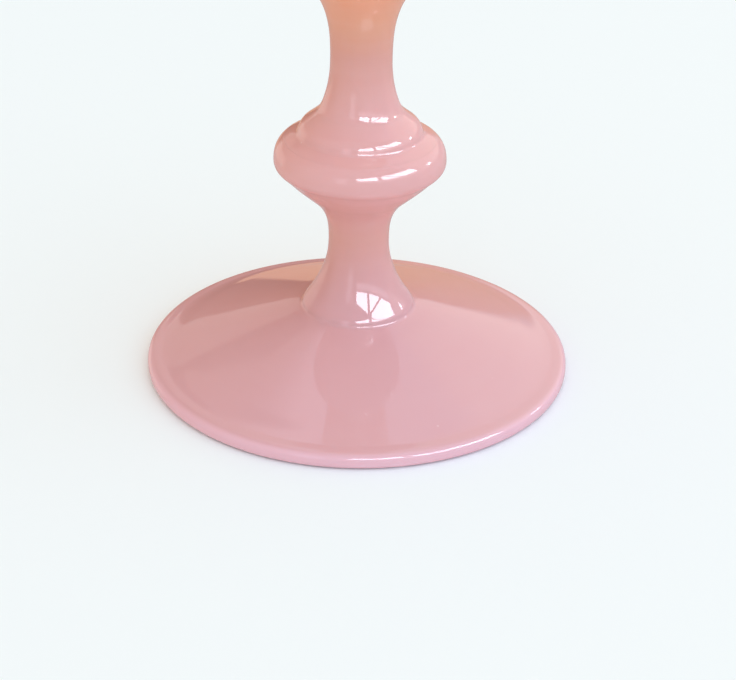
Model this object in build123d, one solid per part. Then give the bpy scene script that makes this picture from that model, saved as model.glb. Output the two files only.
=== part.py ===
from build123d import *

import math
import os

# A short candlestick of solid opaline glass, worked hot at the lamp and the bench.
# Millimetres, +Z up, origin at the centre of the foot, on the surface it stands on.
# Every piece is turned about Z. Pieces are fused hot in life, so here each one
# ends in a flat disc, and the next one starts on that same disc in the same direction.
# A lean is how many degrees a wall tips in towards the axis as it rises.

# Foot: a shallow cone, hollow beneath, standing on a ground ring.
foot_radius = 50.0
foot_height = 16.2            # surface it stands on to the seat of the lower stem
foot_wall = 4.6               # thickness of the cone, measured upright
foot_rim_height = 3.1         # height of the rounded outer edge
foot_rim_round = 1.6          # radius of the edge's lower corner
foot_rim_band = 0.35          # upright band above that corner
foot_turn_down = 4.2          # width of the soft turn from the cone into the rim
foot_turn_share = 0.8         # drawn on this far into the turn, the cone is at the rim's height
foot_collar_width = 0.98      # hollow fillet between the cone and the stem's lip
foot_collar_rise = 0.95       # how far that fillet climbs above the cone
ground_ring_inset = 2.0       # outer edge of the ground ring, in from the rim
ground_ring_width = 4.6
ground_ring_lean = 27.0       # of the hollow's wall where it leaves the ring
hollow_corner_width = 1.6     # fillet between that wall and the hollow's roof
pontil_radius = 9.0           # polished pontil mark in the middle of the hollow
pontil_rise = 0.9             # how far the mark lies above the roof's top
pontil_fillet_width = 6.0

# Lower stem: a slim stem that opens downwards into a bell with a rolled lip.
stem_radius = 7.05            # waist of the lower stem
lower_stem_length = 27.3
lower_waist_height = 16.6     # from the seat up to the narrowest place
bell_lip_radius = 13.12
bell_lip_lean = 12.0
bell_turn_rise = 1.3          # above the lip, where the roll passes into the hollow sweep
bell_turn_width = 0.62
bell_turn_lean = 35.0
bell_knee_rise = 2.85         # above the lip, where the sweep starts to steepen
bell_knee_width = 1.7
bell_sweep_rise = 10.3        # above the lip, a place on the sweep up to the stem
bell_sweep_spread = 0.85      # the sweep's radius there, beyond the waist
knop_foot_flare = 4.2         # lower stem's top disc, wider than its waist by this
knop_foot_lean = -48.5
lower_throat_drop = 3.5       # below that disc, a place on the way in to the waist
lower_throat_spread = 1.33

# Knop: a wide ring and a narrow one, each with a rounded brow, and rings between them.
# Shares are parts of the way out from the stem's disc to the knop's widest place.
knop_radius = 19.75
knop_head_flare = 2.9         # upper stem's bottom disc, wider than its waist by this
knop_head_lean = 45.0
bottom_ring_height = 4.0
middle_ring_height = 10.0
upper_ring_height = 2.1
top_ring_height = 4.55
underside_share = 0.5235      # seam of the bottom ring and the middle one
underside_lean = -46.5
underside_low_share = 0.83    # a place between that seam and the belly
underside_low_rise = 2.6
belly_rise = 5.0              # widest place, above the middle ring's seat
lower_brow_face_share = 0.934   # a place on the face between the belly and the brow
lower_brow_face_rise = 8.1
lower_brow_share = 0.748      # seam of the middle ring and the upper one
brow_lean = 60.0
valley_floor_share = 0.51     # where the slope above the lower brow starts to turn up
valley_floor_rise = 1.13
valley_share = 0.437          # seam of the upper ring and the top one
valley_lean = 17.0
upper_brow_share = 0.286
upper_brow_rise = 2.2
upper_brow_lean = 53.0

# Upper stem: the lower one turned over, a little slimmer and longer.
upper_stem_length = 32.0
upper_waist_height = 12.6
upper_waist_slimmer = 0.08
upper_throat_rise = 3.0       # above the knop, a place on the way in to the waist
upper_throat_spread = 1.43
upper_sweep_drop = 10.7       # below the cup, a place on the way out to the bell
upper_sweep_spread = 0.72
upper_flare_drop = 5.6
upper_flare_spread = 2.6

# Candle cup: a tulip with a blind socket for a 22 mm candle and a flared drip rim.
socket_radius = 11.5
socket_depth = 24.5
socket_floor_round = 1.2
socket_mouth_round = 1.4
cup_floor = 6.0               # solid glass below the socket
cup_base_lean = -60.0
cup_belly_rise = 2.0          # widest place of the bowl, above the socket's floor
cup_belly = 0.7               # the belly stands out beyond the waist by this
cup_wall = 5.5                # round the socket, at the cup's waist
cup_waist_share = 0.55        # height of the waist, as a share of the socket's depth
drip_rim_width = 9.2          # socket wall to the outer edge of the rim
drip_rim_thickness = 2.3
drip_rim_lean = -49.0
drip_rim_round = 0.9
drip_rim_dish = 1.2           # fall of the rim's top towards the socket

# Heights of the seams, from the bottom up.
knop_bottom_z = foot_height + lower_stem_length
middle_ring_z = knop_bottom_z + bottom_ring_height
upper_ring_z = middle_ring_z + middle_ring_height
top_ring_z = upper_ring_z + upper_ring_height
knop_top_z = top_ring_z + top_ring_height
cup_z = knop_top_z + upper_stem_length
socket_floor_z = cup_z + cup_floor
rim_top_z = socket_floor_z + socket_depth + drip_rim_dish

# Radii at the knop's two ends, shared with the stems.
knop_bottom_radius = stem_radius + knop_foot_flare
knop_top_radius = stem_radius + knop_head_flare

inward = (-1, 0, 0)


def at(radius, height):
    """A point of a half section: distance from the axis, and height."""
    return (radius, 0, height)


def rising(lean):
    """The direction up a wall with this lean, in the half section."""
    return (-math.sin(math.radians(lean)), 0, math.cos(math.radians(lean)))


def falling(lean):
    """The direction down a wall with this lean."""
    return (math.sin(math.radians(lean)), 0, -math.cos(math.radians(lean)))


def below_belly(share):
    """Radius on the knop's underside, this share of the way out to the belly."""
    return knop_bottom_radius + share * (knop_radius - knop_bottom_radius)


def above_belly(share):
    """Radius on the knop's upper side, this share of the way out to the belly."""
    return knop_top_radius + share * (knop_radius - knop_top_radius)


# Points where two of the knop's rings meet.
bottom_seam = at(knop_bottom_radius, knop_bottom_z)
underside_seam = at(below_belly(underside_share), middle_ring_z)
brow_seam = at(above_belly(lower_brow_share), upper_ring_z)
valley_seam = at(above_belly(valley_share), top_ring_z)
top_seam = at(knop_top_radius, knop_top_z)


def turned(edges):
    """A solid turned about Z from the closed half section that the edges make."""
    return revolve(Face(Wire(edges)), Axis.Z, 360)


def turned_between(low, high, *side):
    """A solid with a flat disc at the low and the high point, and the edges as its side."""
    bottom = Line(at(0, low[2]), low)
    top = Line(high, at(0, high[2]))
    axis = Line(at(0, high[2]), at(0, low[2]))
    return turned([bottom, *side, top, axis])


def rounding(start, end, centre):
    """A quarter-round arc between two points of a half section."""
    radius = math.dist(start, centre)
    out = (start[0] + end[0] - 2 * centre[0], start[2] + end[2] - 2 * centre[2])
    reach = radius / math.hypot(*out)
    return ThreePointArc(start, at(centre[0] + reach * out[0], centre[2] + reach * out[1]), end)


def foot():
    seat_edge = at(bell_lip_radius, foot_height)
    cone_end = at(bell_lip_radius + foot_collar_width, foot_height - foot_collar_rise)
    run = foot_radius - foot_turn_down - cone_end[0]
    whole_fall = cone_end[2] - foot_rim_height
    fall = whole_fall * run / (run + foot_turn_share * foot_turn_down)
    cone_start = at(foot_radius - foot_turn_down, cone_end[2] - fall)
    cone_lean = math.degrees(math.atan2(run, fall))

    collar = Spline(seat_edge, cone_end, tangents=[falling(bell_lip_lean), falling(cone_lean)])
    cone = Line(cone_end, cone_start)
    rim_side_top = at(foot_radius, foot_rim_round + foot_rim_band)
    turn = Spline(cone_start, rim_side_top, tangents=[falling(cone_lean), falling(0)])
    rim_side_bottom = at(foot_radius, foot_rim_round)
    rim_side = Line(rim_side_top, rim_side_bottom)
    ring_outer = at(foot_radius - ground_ring_inset, 0)
    corner = Spline(rim_side_bottom, ring_outer, tangents=[falling(0), inward])
    ring_inner = at(ring_outer[0] - ground_ring_width, 0)
    ring = Line(ring_outer, ring_inner)

    # The hollow's roof runs parallel to the cone, from just inside the ring to the pontil mark.
    def roof(radius):
        return at(radius, cone_start[2] - foot_wall + (cone_start[0] - radius) * fall / run)

    roof_low = roof(ring_inner[0] - hollow_corner_width)
    roof_high = roof(pontil_radius + pontil_fillet_width)
    hollow_corner = Spline(ring_inner, roof_low,
                           tangents=[rising(ground_ring_lean), rising(cone_lean)])
    roof_line = Line(roof_low, roof_high)
    pontil_edge = at(pontil_radius, roof_high[2] + pontil_rise)
    crown = Spline(roof_high, pontil_edge, tangents=[rising(cone_lean), inward])
    pontil = Line(pontil_edge, at(0, pontil_edge[2]))
    axis = Line(at(0, pontil_edge[2]), at(0, foot_height))
    seat = Line(at(0, foot_height), seat_edge)
    return turned([collar, cone, turn, rim_side, corner, ring, hollow_corner, roof_line,
                   crown, pontil, axis, seat])


def lower_stem():
    lip = at(bell_lip_radius, foot_height)
    turn = at(bell_lip_radius - bell_turn_width, foot_height + bell_turn_rise)
    knee = at(bell_lip_radius - bell_knee_width, foot_height + bell_knee_rise)
    sweep = at(stem_radius + bell_sweep_spread, foot_height + bell_sweep_rise)
    waist = at(stem_radius, foot_height + lower_waist_height)
    throat = at(stem_radius + lower_throat_spread, knop_bottom_z - lower_throat_drop)
    roll = Spline(lip, turn, tangents=[rising(bell_lip_lean), rising(bell_turn_lean)])
    bell = Spline(turn, knee, sweep, waist, tangents=[rising(bell_turn_lean), rising(0)])
    opening = Spline(waist, throat, bottom_seam, tangents=[rising(0), rising(knop_foot_lean)])
    return turned_between(lip, bottom_seam, roll, bell, opening)


def knop_bottom_ring():
    side = Spline(bottom_seam, underside_seam,
                  tangents=[rising(knop_foot_lean), rising(underside_lean)])
    return turned_between(bottom_seam, underside_seam, side)


def knop_middle_ring():
    low = at(below_belly(underside_low_share), middle_ring_z + underside_low_rise)
    belly = at(knop_radius, middle_ring_z + belly_rise)
    face = at(above_belly(lower_brow_face_share), middle_ring_z + lower_brow_face_rise)
    underside = Spline(underside_seam, low, belly, tangents=[rising(underside_lean), rising(0)])
    brow = Spline(belly, face, brow_seam, tangents=[rising(0), rising(brow_lean)])
    return turned_between(underside_seam, brow_seam, underside, brow)


def knop_upper_ring():
    floor = at(above_belly(valley_floor_share), upper_ring_z + valley_floor_rise)
    floor_lean = math.degrees(math.atan2(brow_seam[0] - floor[0], valley_floor_rise))
    slope = Spline(brow_seam, floor, tangents=[rising(brow_lean), rising(floor_lean)])
    valley = Spline(floor, valley_seam, tangents=[rising(floor_lean), rising(valley_lean)])
    return turned_between(brow_seam, valley_seam, slope, valley)


def knop_top_ring():
    brow = at(above_belly(upper_brow_share), top_ring_z + upper_brow_rise)
    face = Spline(valley_seam, brow, tangents=[rising(valley_lean), rising(upper_brow_lean)])
    slope = Spline(brow, top_seam, tangents=[rising(upper_brow_lean), rising(knop_head_lean)])
    return turned_between(valley_seam, top_seam, face, slope)


def upper_stem():
    waist_radius = stem_radius - upper_waist_slimmer
    throat = at(waist_radius + upper_throat_spread, knop_top_z + upper_throat_rise)
    waist = at(waist_radius, knop_top_z + upper_waist_height)
    sweep = at(waist_radius + upper_sweep_spread, cup_z - upper_sweep_drop)
    flare = at(waist_radius + upper_flare_spread, cup_z - upper_flare_drop)
    knee = at(bell_lip_radius - bell_knee_width, cup_z - bell_knee_rise)
    turn = at(bell_lip_radius - bell_turn_width, cup_z - bell_turn_rise)
    lip = at(bell_lip_radius, cup_z)
    opening = Spline(top_seam, throat, waist, tangents=[rising(knop_head_lean), rising(0)])
    bell = Spline(waist, sweep, flare, knee, turn,
                  tangents=[rising(0), rising(-bell_turn_lean)])
    roll = Spline(turn, lip, tangents=[rising(-bell_turn_lean), rising(-bell_lip_lean)])
    return turned_between(top_seam, lip, opening, bell, roll)


def candle_cup():
    waist_radius = socket_radius + cup_wall
    rim_radius = socket_radius + drip_rim_width
    mouth_z = socket_floor_z + socket_depth
    base = at(bell_lip_radius, cup_z)
    belly = at(waist_radius + cup_belly, socket_floor_z + cup_belly_rise)
    waist = at(waist_radius, socket_floor_z + cup_waist_share * socket_depth)
    rim_low = at(rim_radius, rim_top_z - drip_rim_thickness)
    rim_high = at(rim_radius - drip_rim_round, rim_top_z)
    mouth_outer = at(socket_radius + socket_mouth_round, mouth_z)
    mouth_inner = at(socket_radius, mouth_z - socket_mouth_round)
    wall_foot = at(socket_radius, socket_floor_z + socket_floor_round)
    floor_edge = at(socket_radius - socket_floor_round, socket_floor_z)
    bowl = Spline(base, belly, tangents=[rising(cup_base_lean), rising(0)])
    side = Spline(belly, waist, rim_low, tangents=[rising(0), rising(drip_rim_lean)])
    edge = Spline(rim_low, rim_high, tangents=[rising(drip_rim_lean), inward])
    dish = Spline(rim_high, mouth_outer, tangents=[inward, inward])
    mouth = rounding(mouth_outer, mouth_inner, at(mouth_outer[0], mouth_inner[2]))
    wall = Line(mouth_inner, wall_foot)
    floor_round = rounding(wall_foot, floor_edge, at(floor_edge[0], wall_foot[2]))
    floor = Line(floor_edge, at(0, socket_floor_z))
    axis = Line(at(0, socket_floor_z), at(0, cup_z))
    seat = Line(at(0, cup_z), base)
    return turned([seat, bowl, side, edge, dish, mouth, wall, floor_round, floor, axis])


pieces = {
    "foot": foot(),
    "lower_stem": lower_stem(),
    "knop_bottom_ring": knop_bottom_ring(),
    "knop_middle_ring": knop_middle_ring(),
    "knop_upper_ring": knop_upper_ring(),
    "knop_top_ring": knop_top_ring(),
    "upper_stem": upper_stem(),
    "candle_cup": candle_cup(),
}

os.makedirs("parts", exist_ok=True)
for name, solid in pieces.items():
    export_step(solid, f"parts/{name}.step")
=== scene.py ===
import math

import bmesh
import bpy
from mathutils import Matrix, Vector, noise


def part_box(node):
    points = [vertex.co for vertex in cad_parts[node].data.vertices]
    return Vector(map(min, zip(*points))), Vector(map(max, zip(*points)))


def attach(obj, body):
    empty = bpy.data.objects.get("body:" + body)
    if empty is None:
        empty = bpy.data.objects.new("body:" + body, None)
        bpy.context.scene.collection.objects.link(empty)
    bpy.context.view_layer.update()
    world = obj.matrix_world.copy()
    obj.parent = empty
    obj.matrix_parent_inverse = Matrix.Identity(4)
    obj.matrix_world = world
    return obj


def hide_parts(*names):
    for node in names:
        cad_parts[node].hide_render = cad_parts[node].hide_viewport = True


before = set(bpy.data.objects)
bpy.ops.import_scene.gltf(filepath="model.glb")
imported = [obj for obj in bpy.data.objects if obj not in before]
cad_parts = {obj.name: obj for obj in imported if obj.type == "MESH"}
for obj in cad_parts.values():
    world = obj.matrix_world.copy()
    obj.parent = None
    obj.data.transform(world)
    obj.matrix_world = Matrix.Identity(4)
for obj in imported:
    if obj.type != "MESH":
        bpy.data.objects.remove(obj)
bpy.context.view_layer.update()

# Looks of an opaline glass candlestick: rose pink at the foot, turning to peach at the cup.
# Metres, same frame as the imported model: origin at the centre of the foot, +Z up.

MM = 0.001
FOOT_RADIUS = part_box("foot")[1].x
TOTAL_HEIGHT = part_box("candle_cup")[1].z

# Each piece, with the slot that it takes its finish from.
PIECES = {
    "foot": "foot_glass",
    "lower_stem": "lower_stem_glass",
    "knop_bottom_ring": "knop_glass",
    "knop_middle_ring": "knop_glass",
    "knop_upper_ring": "knop_glass",
    "knop_top_ring": "knop_glass",
    "upper_stem": "upper_stem_glass",
    "candle_cup": "cup_glass",
}

# ---------------------------------------------------------------- camera

CAMERA_BACK = 0.4013          # in front of the axis, towards -Y
CAMERA_UP = 0.22281
CAMERA_PITCH = math.radians(28.445)   # looking down
CAMERA_YAW = math.radians(0.367)      # to the right
CAMERA_ROLL = math.radians(1.02)
CAMERA_LENS_MM = 93.19
SENSOR_MM = 36.0


def make_camera():
    data = bpy.data.cameras.new("camera")
    data.lens = CAMERA_LENS_MM
    data.sensor_width = SENSOR_MM
    data.clip_start = 0.01
    data.clip_end = 50.0
    camera = bpy.data.objects.new("camera", data)
    forward = Vector((
        math.sin(CAMERA_YAW) * math.cos(CAMERA_PITCH),
        math.cos(CAMERA_YAW) * math.cos(CAMERA_PITCH),
        -math.sin(CAMERA_PITCH),
    ))
    level = Vector((math.cos(CAMERA_YAW), -math.sin(CAMERA_YAW), 0.0))
    up = level.cross(forward)
    right = level * math.cos(CAMERA_ROLL) + up * math.sin(CAMERA_ROLL)
    up = up * math.cos(CAMERA_ROLL) - level * math.sin(CAMERA_ROLL)
    axes = Matrix((right, up, -forward)).transposed().to_4x4()
    camera.matrix_world = Matrix.Translation((0.0, -CAMERA_BACK, CAMERA_UP)) @ axes
    bpy.context.scene.collection.objects.link(camera)
    bpy.context.scene.camera = camera


# ---------------------------------------------------------------- node helpers


class Nodes:
    """A node tree with short calls for the maths that the materials and the light need."""

    def __init__(self, tree):
        self.tree = tree
        tree.nodes.clear()

    def add(self, kind, **settings):
        made = self.tree.nodes.new(kind)
        for name, value in settings.items():
            setattr(made, name, value)
        return made

    def link(self, source, target):
        self.tree.links.new(source, target)

    def put(self, value, socket):
        """Set a number, colour or vector on the socket, or link another node's output to it."""
        if isinstance(value, bpy.types.NodeSocket):
            self.link(value, socket)
        else:
            socket.default_value = value

    def math(self, operation, a, b=0.0, clamp=False):
        made = self.add("ShaderNodeMath", operation=operation, use_clamp=clamp)
        self.put(a, made.inputs[0])
        self.put(b, made.inputs[1])
        return made.outputs[0]

    def step(self, value, low, high):
        """0 below low, 1 above high, and smooth between them. low may be above high."""
        if low > high:
            return self.math("SUBTRACT", 1.0, self.step(value, high, low))
        made = self.add("ShaderNodeMapRange", interpolation_type="SMOOTHSTEP")
        self.put(value, made.inputs["Value"])
        made.inputs["From Min"].default_value = low
        made.inputs["From Max"].default_value = high
        return made.outputs["Result"]

    def band(self, value, low, high, soft):
        """1 between low and high, with edges soft wide."""
        rise = self.step(value, low - soft / 2, low + soft / 2)
        fall = self.step(value, high + soft / 2, high - soft / 2)
        return self.math("MULTIPLY", rise, fall)

    def patch(self, across, sides, up, ends):
        """1 inside an oblong of two measures, each as (low, high, soft edge)."""
        return self.math("MULTIPLY", self.band(across, *sides), self.band(up, *ends))

    def mix(self, share, a, b):
        """From colour a to colour b by share. Either may be a tuple or another node's output."""
        made = self.add("ShaderNodeMix", data_type="RGBA")
        self.put(share, made.inputs[0])
        self.put((*a, 1.0) if isinstance(a, tuple) else a, made.inputs[6])
        self.put((*b, 1.0) if isinstance(b, tuple) else b, made.inputs[7])
        return made.outputs[2]

    def ramp(self, value, stops):
        """A colour ramp through (place, colour) stops."""
        made = self.add("ShaderNodeValToRGB")
        elements = made.color_ramp.elements
        while len(elements) < len(stops):
            elements.new(0.5)
        for element, (place, colour) in zip(elements, stops):
            element.position = place
            element.color = (*colour, 1.0)
        self.put(value, made.inputs["Fac"])
        return made.outputs["Color"]

    def noise(self, vector, scale, detail, roughness):
        made = self.add("ShaderNodeTexNoise")
        self.put(vector, made.inputs["Vector"])
        made.inputs["Scale"].default_value = scale
        made.inputs["Detail"].default_value = detail
        made.inputs["Roughness"].default_value = roughness
        return made.outputs["Fac"]


# ---------------------------------------------------------------- the glass

# Colour of the glass up the candlestick, as (height in metres, linear colour).
GLASS_TINTS = [
    (0.000, (0.710, 0.376, 0.390)),
    (0.018, (0.700, 0.360, 0.368)),
    (0.035, (0.735, 0.362, 0.310)),
    (0.050, (0.785, 0.398, 0.380)),
    (0.066, (0.775, 0.388, 0.366)),
    (0.078, (0.715, 0.335, 0.275)),
    (0.086, (0.765, 0.345, 0.228)),
    (0.096, (0.880, 0.375, 0.220)),
    (0.128, (0.880, 0.350, 0.180)),
]
STREAK_COLOUR = (0.80, 0.56, 0.55)
# Painted light: the glow of light let through the foot's thin rim.
PAINTED_RIM_GLOW_COLOUR = (0.86, 0.50, 0.56)
SEED_COLOUR = (0.88, 0.70, 0.70)
SPECK_COLOUR = (0.34, 0.13, 0.11)

# Noises in the glass, each as (how many to the metre, detail, roughness of the detail).
CLOUDS = (55.0, 3.0, 0.55)
STREAKS = (1.0, 2.0, 0.5)
WEAR = (900.0, 4.0, 0.65)
SMEARS = (38.0, 2.0, 0.5)
WAVES = (90.0, 1.0, 0.4)

CLOUD_SHIFT = 0.010           # metres up or down that the clouds move the tint
STREAK_STRETCH = (40.0, 40.0, 420.0)   # streaks to the metre along X, Y and Z
STREAK_SHARE = 0.10
# Where the painted rim glow lies, and how strongly it is mixed in.
PAINTED_RIM_GLOW_WIDTH = (1.6 * MM, 0.1 * MM)       # inwards from the edge: where the pale rim starts, and is full
PAINTED_RIM_GLOW_SHARE = 0.75
CELLS = 160.0                 # cells to the metre; some hold a seed and a few hold a speck
SEED_EDGE = (0.055, 0.02)     # shares of a cell: nothing beyond the first, full inside the second
SEED_CELLS = (0.86, 0.87)     # cells above this share of the draw hold a seed
SEED_SHARE = 0.35
SEED_BLISTER = 0.12
SPECK_EDGE = (0.05, 0.03)
SPECK_CELLS = (0.035, 0.03)   # cells below this share of the draw hold a speck
SPECK_SHARE = 0.6
GLASS_IOR = 1.5
MILKINESS = 0.15
MILK_RADIUS = (1.0, 0.6, 0.5)
MILK_DEPTH = 0.4 * MM
POLISH = 0.02                 # roughness of the fire-polished glass
WEAR_ROUGHNESS = 0.10
GROUND_HEIGHT = (0.35 * MM, 0.1 * MM)  # the ring below this height is ground matt
GROUND_ROUGHNESS = 0.35
WAVE_STRENGTH = 0.35
WAVE_HEIGHT = 0.06 * MM


def glass(slot):
    """Milky opaline glass: tinted by height, cloudy inside, fire-polished, with seeds and wear."""
    material = bpy.data.materials.new(slot)
    material.use_nodes = True
    n = Nodes(material.node_tree)
    place = n.add("ShaderNodeTexCoord").outputs["Object"]
    parts = n.add("ShaderNodeSeparateXYZ")
    n.link(place, parts.inputs[0])
    height = parts.outputs["Z"]

    # Clouds in the milky glass move the tint up or down a little.
    clouds = n.noise(place, *CLOUDS)
    shift = n.math("MULTIPLY", n.math("SUBTRACT", clouds, 0.5), CLOUD_SHIFT)
    level = n.math("DIVIDE", n.math("ADD", height, shift), TOTAL_HEIGHT)
    tint = n.ramp(level, [(z / TOTAL_HEIGHT, colour) for z, colour in GLASS_TINTS])

    # Faint streaks wound round the axis, as the gather was turned.
    stretched = n.add("ShaderNodeMapping")
    n.link(place, stretched.inputs["Vector"])
    stretched.inputs["Scale"].default_value = STREAK_STRETCH
    streaks = n.noise(stretched.outputs["Vector"], *STREAKS)
    streaky = n.mix(n.math("MULTIPLY", streaks, STREAK_SHARE), tint, STREAK_COLOUR)

    # The thin rim of the foot lets more light through; that light is painted into the colour here, as a
    # paler and pinker rim.
    across = n.math("MULTIPLY", parts.outputs["X"], parts.outputs["X"])
    along = n.math("MULTIPLY", parts.outputs["Y"], parts.outputs["Y"])
    radius = n.math("SQRT", n.math("ADD", across, along))
    painted_rim_glow = n.step(radius, FOOT_RADIUS - PAINTED_RIM_GLOW_WIDTH[0], FOOT_RADIUS - PAINTED_RIM_GLOW_WIDTH[1])
    pale = n.mix(n.math("MULTIPLY", painted_rim_glow, PAINTED_RIM_GLOW_SHARE), streaky, PAINTED_RIM_GLOW_COLOUR)

    # Seeds: tiny bubbles just under the surface; and a few dark specks of grit in the glass.
    cells = n.add("ShaderNodeTexVoronoi", feature="F1")
    n.link(place, cells.inputs["Vector"])
    cells.inputs["Scale"].default_value = CELLS
    cells.inputs["Randomness"].default_value = 1.0
    chosen = n.add("ShaderNodeSeparateColor")
    n.link(cells.outputs["Color"], chosen.inputs[0])
    seed_size = n.step(cells.outputs["Distance"], *SEED_EDGE)
    seeds = n.math("MULTIPLY", seed_size, n.step(chosen.outputs[0], *SEED_CELLS))
    seeded = n.mix(n.math("MULTIPLY", seeds, SEED_SHARE), pale, SEED_COLOUR)
    speck_size = n.step(cells.outputs["Distance"], *SPECK_EDGE)
    specks = n.math("MULTIPLY", speck_size, n.step(chosen.outputs[0], *SPECK_CELLS))
    colour = n.mix(n.math("MULTIPLY", specks, SPECK_SHARE), seeded, SPECK_COLOUR)

    shader = n.add("ShaderNodeBsdfPrincipled")
    n.link(colour, shader.inputs["Base Color"])
    shader.inputs["IOR"].default_value = GLASS_IOR
    shader.inputs["Subsurface Weight"].default_value = MILKINESS
    shader.inputs["Subsurface Radius"].default_value = MILK_RADIUS
    shader.inputs["Subsurface Scale"].default_value = MILK_DEPTH

    # Fire polish, dulled here and there by fine wear, and ground matt under the foot.
    wear = n.noise(place, *WEAR)
    smears = n.noise(place, *SMEARS)
    dull = n.math("MULTIPLY", n.math("MULTIPLY", wear, smears), WEAR_ROUGHNESS)
    ground = n.math("MULTIPLY", n.step(height, *GROUND_HEIGHT), GROUND_ROUGHNESS)
    rough = n.math("ADD", n.math("ADD", POLISH, dull), ground)
    n.link(rough, shader.inputs["Roughness"])

    # Hand-worked surface: long soft waves, with the seeds as tiny blisters.
    waves = n.noise(place, *WAVES)
    raised = n.math("ADD", waves, n.math("MULTIPLY", seeds, SEED_BLISTER))
    bump = n.add("ShaderNodeBump")
    bump.inputs["Strength"].default_value = WAVE_STRENGTH
    bump.inputs["Distance"].default_value = WAVE_HEIGHT
    n.link(raised, bump.inputs["Height"])
    n.link(bump.outputs["Normal"], shader.inputs["Normal"])

    out = n.add("ShaderNodeOutputMaterial")
    n.link(shader.outputs[0], out.inputs["Surface"])
    return material


# ---------------------------------------------------------------- turned pieces

SEAM = 1e-6                   # a vertex this close to the XZ plane is on the outline
CORNER = math.radians(22.0)   # a sharper turn than this stays a corner
OUTLINE_STEP = 0.35 * MM      # between rings on a curve
STRAIGHT_STEP = 3 * OUTLINE_STEP
SEGMENTS = 288
SHARP = math.radians(35)      # an edge sharper than this is shaded as a crease


def outline(node):
    """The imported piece's half section, as (radius, height) points in order."""
    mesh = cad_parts[node].data
    on_seam = {}
    for vertex in mesh.vertices:
        x, y, z = vertex.co
        if abs(y) < SEAM and x > SEAM:
            on_seam[vertex.index] = (round(x, 7), round(z, 7))
    beside = {}
    for edge in mesh.edges:
        a, b = (on_seam.get(i) for i in edge.vertices)
        if a and b and a != b:
            beside.setdefault(a, set()).add(b)
            beside.setdefault(b, set()).add(a)
    ends = sorted((p for p in beside if len(beside[p]) == 1), key=lambda p: (p[1], p[0]))
    path = [ends[-1] if node == "foot" else ends[0]]
    while True:
        onward = [p for p in beside[path[-1]] if p not in path]
        if not onward:
            return path
        path.append(onward[0])


def turn_at(a, b, c):
    """How far the outline turns at b, in radians."""
    before = math.atan2(b[1] - a[1], b[0] - a[0])
    after = math.atan2(c[1] - b[1], c[0] - b[0])
    return abs((after - before + math.pi) % (2 * math.pi) - math.pi)


def smooth_run(points):
    """More points along a run with no corner in it, on a cubic through the given ones."""
    if len(points) == 2:
        (r0, z0), (r1, z1) = points
        count = max(1, round(math.dist(*points) / STRAIGHT_STEP))
        return [(r0 + (r1 - r0) * i / count, z0 + (z1 - z0) * i / count) for i in range(count)]
    places = [0.0]
    for a, b in zip(points, points[1:]):
        places.append(places[-1] + math.dist(a, b))
    slopes = []
    for i in range(len(points)):
        lo, hi = max(0, i - 1), min(len(points) - 1, i + 1)
        if lo < i < hi:
            back, ahead = places[i] - places[lo], places[hi] - places[i]
            slope = [
                ((points[i][k] - points[lo][k]) / back * ahead
                 + (points[hi][k] - points[i][k]) / ahead * back) / (back + ahead)
                for k in (0, 1)
            ]
        else:
            span = places[hi] - places[lo]
            slope = [(points[hi][k] - points[lo][k]) / span for k in (0, 1)]
        slopes.append(slope)
    made = []
    for i in range(len(points) - 1):
        length = places[i + 1] - places[i]
        count = max(1, round(length / OUTLINE_STEP))
        for j in range(count):
            t = j / count
            h = (2 * t**3 - 3 * t**2 + 1, t**3 - 2 * t**2 + t, 3 * t**2 - 2 * t**3, t**3 - t**2)
            made.append(tuple(
                h[0] * points[i][k] + h[1] * length * slopes[i][k]
                + h[2] * points[i + 1][k] + h[3] * length * slopes[i + 1][k]
                for k in (0, 1)
            ))
    return made


def smooth(points):
    """The outline with more points along its curves, and its corners kept."""
    corners = [0]
    for i in range(1, len(points) - 1):
        if turn_at(points[i - 1], points[i], points[i + 1]) > CORNER:
            corners.append(i)
    corners.append(len(points) - 1)
    made = []
    for a, b in zip(corners, corners[1:]):
        made += smooth_run(points[a:b + 1])
    return made + [points[-1]]


UNEVEN_SIZE = 14 * MM         # length of the unevenness of glass turned by hand
UNEVEN_DEPTH = 0.045 * MM
UNEVEN_START = 1.5 * MM       # below this height the foot stays true, so that it stands flat


def hand_worked(radius, angle, height):
    """How far the glass turned by hand falls short of the true form: inwards, and downwards."""
    place = Vector((math.cos(angle) * radius, math.sin(angle) * radius, height * 0.6)) / UNEVEN_SIZE
    inwards = (0.5 + 0.5 * noise.noise(place)) * UNEVEN_DEPTH
    downwards = (0.5 + 0.5 * noise.noise(place + Vector((7.3, 2.1, 5.9)))) * UNEVEN_DEPTH
    share = min(1.0, max(0.0, height / UNEVEN_START))
    return inwards * share, downwards * share


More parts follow.
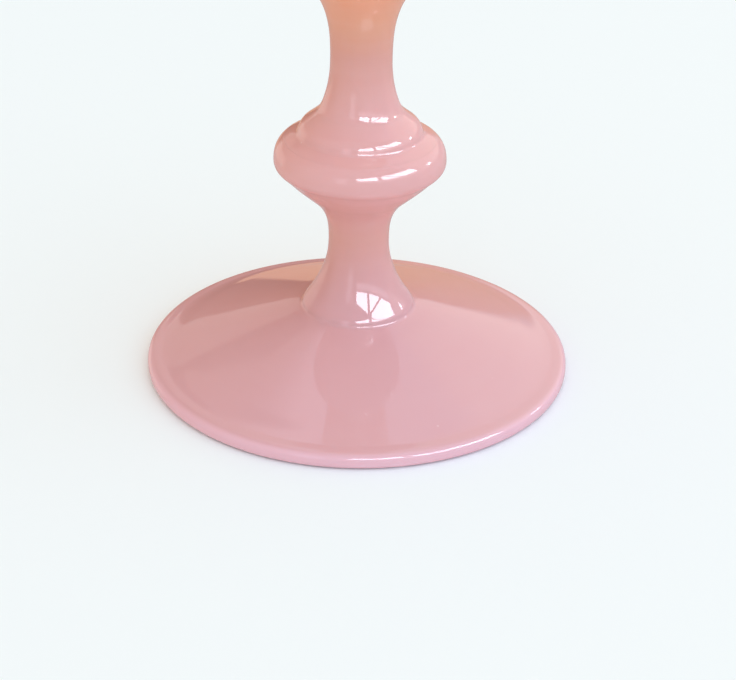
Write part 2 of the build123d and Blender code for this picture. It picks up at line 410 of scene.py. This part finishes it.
def turned_piece(node, material):
    """The piece's outline turned about the axis and closed at both ends, in place of its node."""
    path = smooth(outline(node))
    mesh = bpy.data.meshes.new(node + "_glass")
    work = bmesh.new()
    rings = []
    for radius, height in path:
        ring = []
        for i in range(SEGMENTS):
            angle = 2 * math.pi * i / SEGMENTS
            inwards, downwards = hand_worked(radius, angle, height)
            wide = radius - inwards
            deep = max(0.0, height - downwards)
            ring.append(work.verts.new((wide * math.cos(angle), wide * math.sin(angle), deep)))
        rings.append(ring)
    for low, high in zip(rings, rings[1:]):
        for i in range(SEGMENTS):
            j = (i + 1) % SEGMENTS
            work.faces.new((low[i], low[j], high[j], high[i]))
    for ring in (rings[0], rings[-1]):
        centre = work.verts.new(sum((v.co for v in ring), Vector()) / SEGMENTS)
        for i in range(SEGMENTS):
            work.faces.new((ring[i], ring[(i + 1) % SEGMENTS], centre))
    bmesh.ops.recalc_face_normals(work, faces=work.faces)
    for face in work.faces:
        face.smooth = True
    work.to_mesh(mesh)
    work.free()
    mesh.set_sharp_from_angle(angle=SHARP)
    mesh.materials.append(material)
    piece = bpy.data.objects.new(node + "_glass", mesh)
    bpy.context.scene.collection.objects.link(piece)
    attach(piece, "root")
    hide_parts(node)


# ---------------------------------------------------------------- stage and light

FLOOR_COLOUR = (0.895, 0.915, 0.925)
FLOOR_GRAIN = (0.86, 0.88, 0.89)
FLOOR_HALF = 6.0
FLOOR_NOISE = (260.0, 3.0, 0.6)
FLOOR_GRAIN_SHARE = 0.1
FLOOR_ROUGHNESS = 0.9


def make_floor():
    """A plain pale floor. The gloss shows the room instead of it."""
    mesh = bpy.data.meshes.new("floor")
    half = FLOOR_HALF
    corners = [(-half, -half, 0), (half, -half, 0), (half, half, 0), (-half, half, 0)]
    mesh.from_pydata(corners, [], [(0, 1, 2, 3)])
    material = bpy.data.materials.new("floor")
    material.use_nodes = True
    n = Nodes(material.node_tree)
    place = n.add("ShaderNodeTexCoord").outputs["Object"]
    grain = n.noise(place, *FLOOR_NOISE)
    shade = n.mix(n.math("MULTIPLY", grain, FLOOR_GRAIN_SHARE), FLOOR_COLOUR, FLOOR_GRAIN)
    shader = n.add("ShaderNodeBsdfPrincipled")
    n.link(shade, shader.inputs["Base Color"])
    shader.inputs["Roughness"].default_value = FLOOR_ROUGHNESS
    shader.inputs["Specular IOR Level"].default_value = 0.0
    out = n.add("ShaderNodeOutputMaterial")
    n.link(shader.outputs[0], out.inputs["Surface"])
    mesh.materials.append(material)
    floor = bpy.data.objects.new("floor", mesh)
    bpy.context.scene.collection.objects.link(floor)
    floor.visible_glossy = False


# The even light that falls from all round: cooler from the window's side, warmer from behind.
SOFT_LIGHT = (0.94, 0.90, 0.80)
SOFT_GAIN = (0.10, 0.40, 0.78)
WINDOW_SIDE = (0.60, -0.70, 0.39)

BACKDROP = (0.88, 0.945, 0.97)        # seen beyond the floor's edge

# What the gloss shows of the room.
ROOM_DARK = (0.24, 0.20, 0.18)        # behind, to the left
ROOM_LIGHT = (1.85, 1.55, 1.48)       # behind, to the right
ROOM_SIDE = (0.80, 0.66, 0.68)        # the same, low down
ROOM_HIGH = (1.30, 1.15, 1.35)
ROOM_HIGH_LEFT = (0.10, 0.08, 0.10)
ROOM_FRONT = (0.50, 0.46, 0.48)
ROOM_LOW = (0.60, 0.50, 0.50)
ROOM_BROWN = (0.10, 0.02, 0.00)
ROOM_AMBER = (0.72, 0.41, 0.25)
ROOM_BRIGHT = (0.95, 0.78, 0.74)
ROOM_SHADE = (0.0, 0.0, 0.0)
ROOM_GLOW = (1.60, 1.55, 1.75)
WINDOW = (13.5, 14.5, 16.5)
SILL = (2.2, 2.1, 2.4)

# Edges of the window, in degrees to the right of the front and above the floor.
LEFT_PANE = (-4.0, 25.5)
RIGHT_PANE = (31.5, 85.0)
PANE_LOW = 22.5
PANE_TOP = 41.0
LEFT_TOP = 34.5               # the left pane's top edge at the front, and how steeply it rises
LEFT_TOP_SLOPE = 0.28
CORD_AT = (57.0, 25.0)        # a cord hangs aslant across the right pane
CORD_SLOPE = -0.625
CORD_WIDTH = 0.9

# Patches of the room, each as (left, right, soft edge) and (low, high, soft edge), in degrees.
# The first five are measured from the back, to the right, and the others from the front.
SHADE_PATCH = (-31.0, -24.0, 1.5), (29.0, 46.0, 2.0)
BRIGHT_PATCH = (-64.0, -28.0, 5.0), (-14.0, 13.0, 4.0)
AMBER_PATCH = (-26.0, 17.0, 4.0), (-60.0, 11.0, 3.0)
BROWN_PATCH = (-26.0, 1.0, 5.0), (-5.0, 12.0, 1.5)
HIGH_BROWN_PATCH = (-14.5, -4.0, 1.5), (10.0, 26.0, 2.0)
SIDE_GLOW_PATCH = (-32.0, -17.0, 4.0), (0.0, 30.0, 5.0)
LOW_GLOW_PATCH = (-3.0, 42.0, 8.0), (-60.0, -44.0, 5.0)
SILL_PATCH = (-4.0, 85.0, 2.0), (14.5, 20.5, 2.0)
SIDE_WINDOW_PATCH = (106.0, 113.0, 2.0), (16.0, 22.5, 2.0)
PANE_EDGE = 1.0               # soft edges of the panes, at the sides and at the ends
PANE_END = 1.5

# Where the room changes, in degrees: nothing of the change at the first, all of it at the second.
LEFT_TO_RIGHT = (-45.0, 40.0)
LOW_LEFT_TO_RIGHT = (-20.0, 20.0)
LOW_SIDES = (14.0, 8.0)
BELOW = (-10.0, -18.0)
ABOVE = (48.0, 60.0)
HIGH_LEFT_TO_RIGHT = (-36.0, -24.0)
BACK_TO_FRONT = (0.15, -0.25)         # this one along Y, not in degrees
DEGREES = 180 / math.pi


def make_world():
    """Soft light from all round, with the room's window, dark and light sides for the gloss to show."""
    world = bpy.data.worlds.new("room")
    bpy.context.scene.world = world
    world.use_nodes = True
    n = Nodes(world.node_tree)
    direction = n.add("ShaderNodeTexCoord").outputs["Generated"]
    parts = n.add("ShaderNodeSeparateXYZ")
    n.link(direction, parts.inputs[0])
    x, y, z = parts.outputs

    # turn: degrees from +Y, the back, to the right. swing: degrees from -Y, the front, to the
    # right. lift: degrees above the floor.
    turn = n.math("MULTIPLY", n.math("ARCTAN2", x, y), DEGREES)
    swing = n.math("MULTIPLY", n.math("ARCTAN2", x, n.math("MULTIPLY", y, -1.0)), DEGREES)
    lift = n.math("MULTIPLY", n.math("ARCSINE", z), DEGREES)

    def painted(room, across, patch, colour):
        sides, ends = patch
        return n.mix(n.patch(across, sides, lift, ends), room, colour)

    room = n.mix(n.step(turn, *LEFT_TO_RIGHT), ROOM_DARK, ROOM_LIGHT)
    low = n.mix(n.step(turn, *LOW_LEFT_TO_RIGHT), ROOM_DARK, ROOM_SIDE)
    room = n.mix(n.step(lift, *LOW_SIDES), room, low)
    room = painted(room, turn, SHADE_PATCH, ROOM_SHADE)
    room = painted(room, turn, BRIGHT_PATCH, ROOM_BRIGHT)
    room = painted(room, turn, AMBER_PATCH, ROOM_AMBER)
    room = painted(room, turn, BROWN_PATCH, ROOM_BROWN)
    room = painted(room, turn, HIGH_BROWN_PATCH, ROOM_BROWN)
    room = n.mix(n.step(lift, *BELOW), room, ROOM_LOW)
    high = n.mix(n.step(turn, *HIGH_LEFT_TO_RIGHT), ROOM_HIGH_LEFT, ROOM_HIGH)
    room = n.mix(n.step(lift, *ABOVE), room, high)
    room = n.mix(n.step(y, *BACK_TO_FRONT), room, ROOM_FRONT)
    room = painted(room, swing, SIDE_GLOW_PATCH, ROOM_GLOW)
    room = painted(room, swing, LOW_GLOW_PATCH, ROOM_GLOW)
    room = painted(room, swing, SILL_PATCH, SILL)

    # The window: a left pane with a slanting top, and a right pane crossed by the cord.
    pane_ends = (PANE_LOW, PANE_TOP, PANE_END)
    left_top = n.math("ADD", n.math("MULTIPLY", swing, LEFT_TOP_SLOPE), LEFT_TOP)
    under_top = n.step(n.math("SUBTRACT", left_top, lift), 0.0, PANE_END)
    left = n.patch(swing, (*LEFT_PANE, PANE_EDGE), lift, pane_ends)
    room = n.mix(n.math("MULTIPLY", left, under_top), room, WINDOW)
    cord = n.math("MULTIPLY", n.math("SUBTRACT", swing, CORD_AT[0]), CORD_SLOPE)
    off_cord = n.math("ABSOLUTE", n.math("SUBTRACT", n.math("SUBTRACT", lift, CORD_AT[1]), cord))
    clear = n.step(off_cord, CORD_WIDTH, CORD_WIDTH * 2)
    right = n.patch(swing, (*RIGHT_PANE, PANE_EDGE), lift, pane_ends)
    room = n.mix(n.math("MULTIPLY", right, clear), room, WINDOW)
    room = painted(room, swing, SIDE_WINDOW_PATCH, WINDOW)

    # The soft light, by how far each direction lies towards the window's side.
    lean = n.add("ShaderNodeVectorMath", operation="DOT_PRODUCT")
    n.link(direction, lean.inputs[0])
    lean.inputs[1].default_value = WINDOW_SIDE
    share = n.math("ADD", n.math("MULTIPLY", lean.outputs["Value"], 0.5), 0.5)
    behind = tuple(base - gain for base, gain in zip(SOFT_LIGHT, SOFT_GAIN))
    ahead = tuple(base + gain for base, gain in zip(SOFT_LIGHT, SOFT_GAIN))
    soft = n.mix(share, behind, ahead)

    path = n.add("ShaderNodeLightPath")
    seen = n.mix(path.outputs["Is Glossy Ray"], soft, room)
    seen = n.mix(path.outputs["Is Camera Ray"], seen, BACKDROP)
    background = n.add("ShaderNodeBackground")
    n.link(seen, background.inputs["Color"])
    background.inputs["Strength"].default_value = 1.0
    out = n.add("ShaderNodeOutputWorld")
    n.link(background.outputs[0], out.inputs["Surface"])


KEY_TURN = math.radians(75.0)         # from the front, to the right
KEY_LIFT = math.radians(45.0)
KEY_DISTANCE = 1.2
KEY_SIZE = (1.4, 0.9)
KEY_WATTS = 1.3
KEY_COLOUR = (1.0, 0.98, 0.98)


def make_key():
    """A large soft light to the right, for the shading; the gloss shows the room instead."""
    data = bpy.data.lights.new("key", "AREA")
    data.shape = "RECTANGLE"
    data.size, data.size_y = KEY_SIZE
    data.energy = KEY_WATTS
    data.color = KEY_COLOUR
    light = bpy.data.objects.new("key", data)
    towards = Vector((
        math.sin(KEY_TURN) * math.cos(KEY_LIFT),
        -math.cos(KEY_TURN) * math.cos(KEY_LIFT),
        math.sin(KEY_LIFT),
    ))
    light.location = towards * KEY_DISTANCE
    light.rotation_euler = towards.to_track_quat("Z", "Y").to_euler()
    light.visible_camera = False
    light.visible_glossy = False
    bpy.context.scene.collection.objects.link(light)


bpy.context.scene.view_settings.view_transform = "Standard"
make_camera()
materials = {slot: glass(slot) for slot in dict.fromkeys(PIECES.values())}
for node, slot in PIECES.items():
    turned_piece(node, materials[slot])
make_floor()
make_world()
make_key()
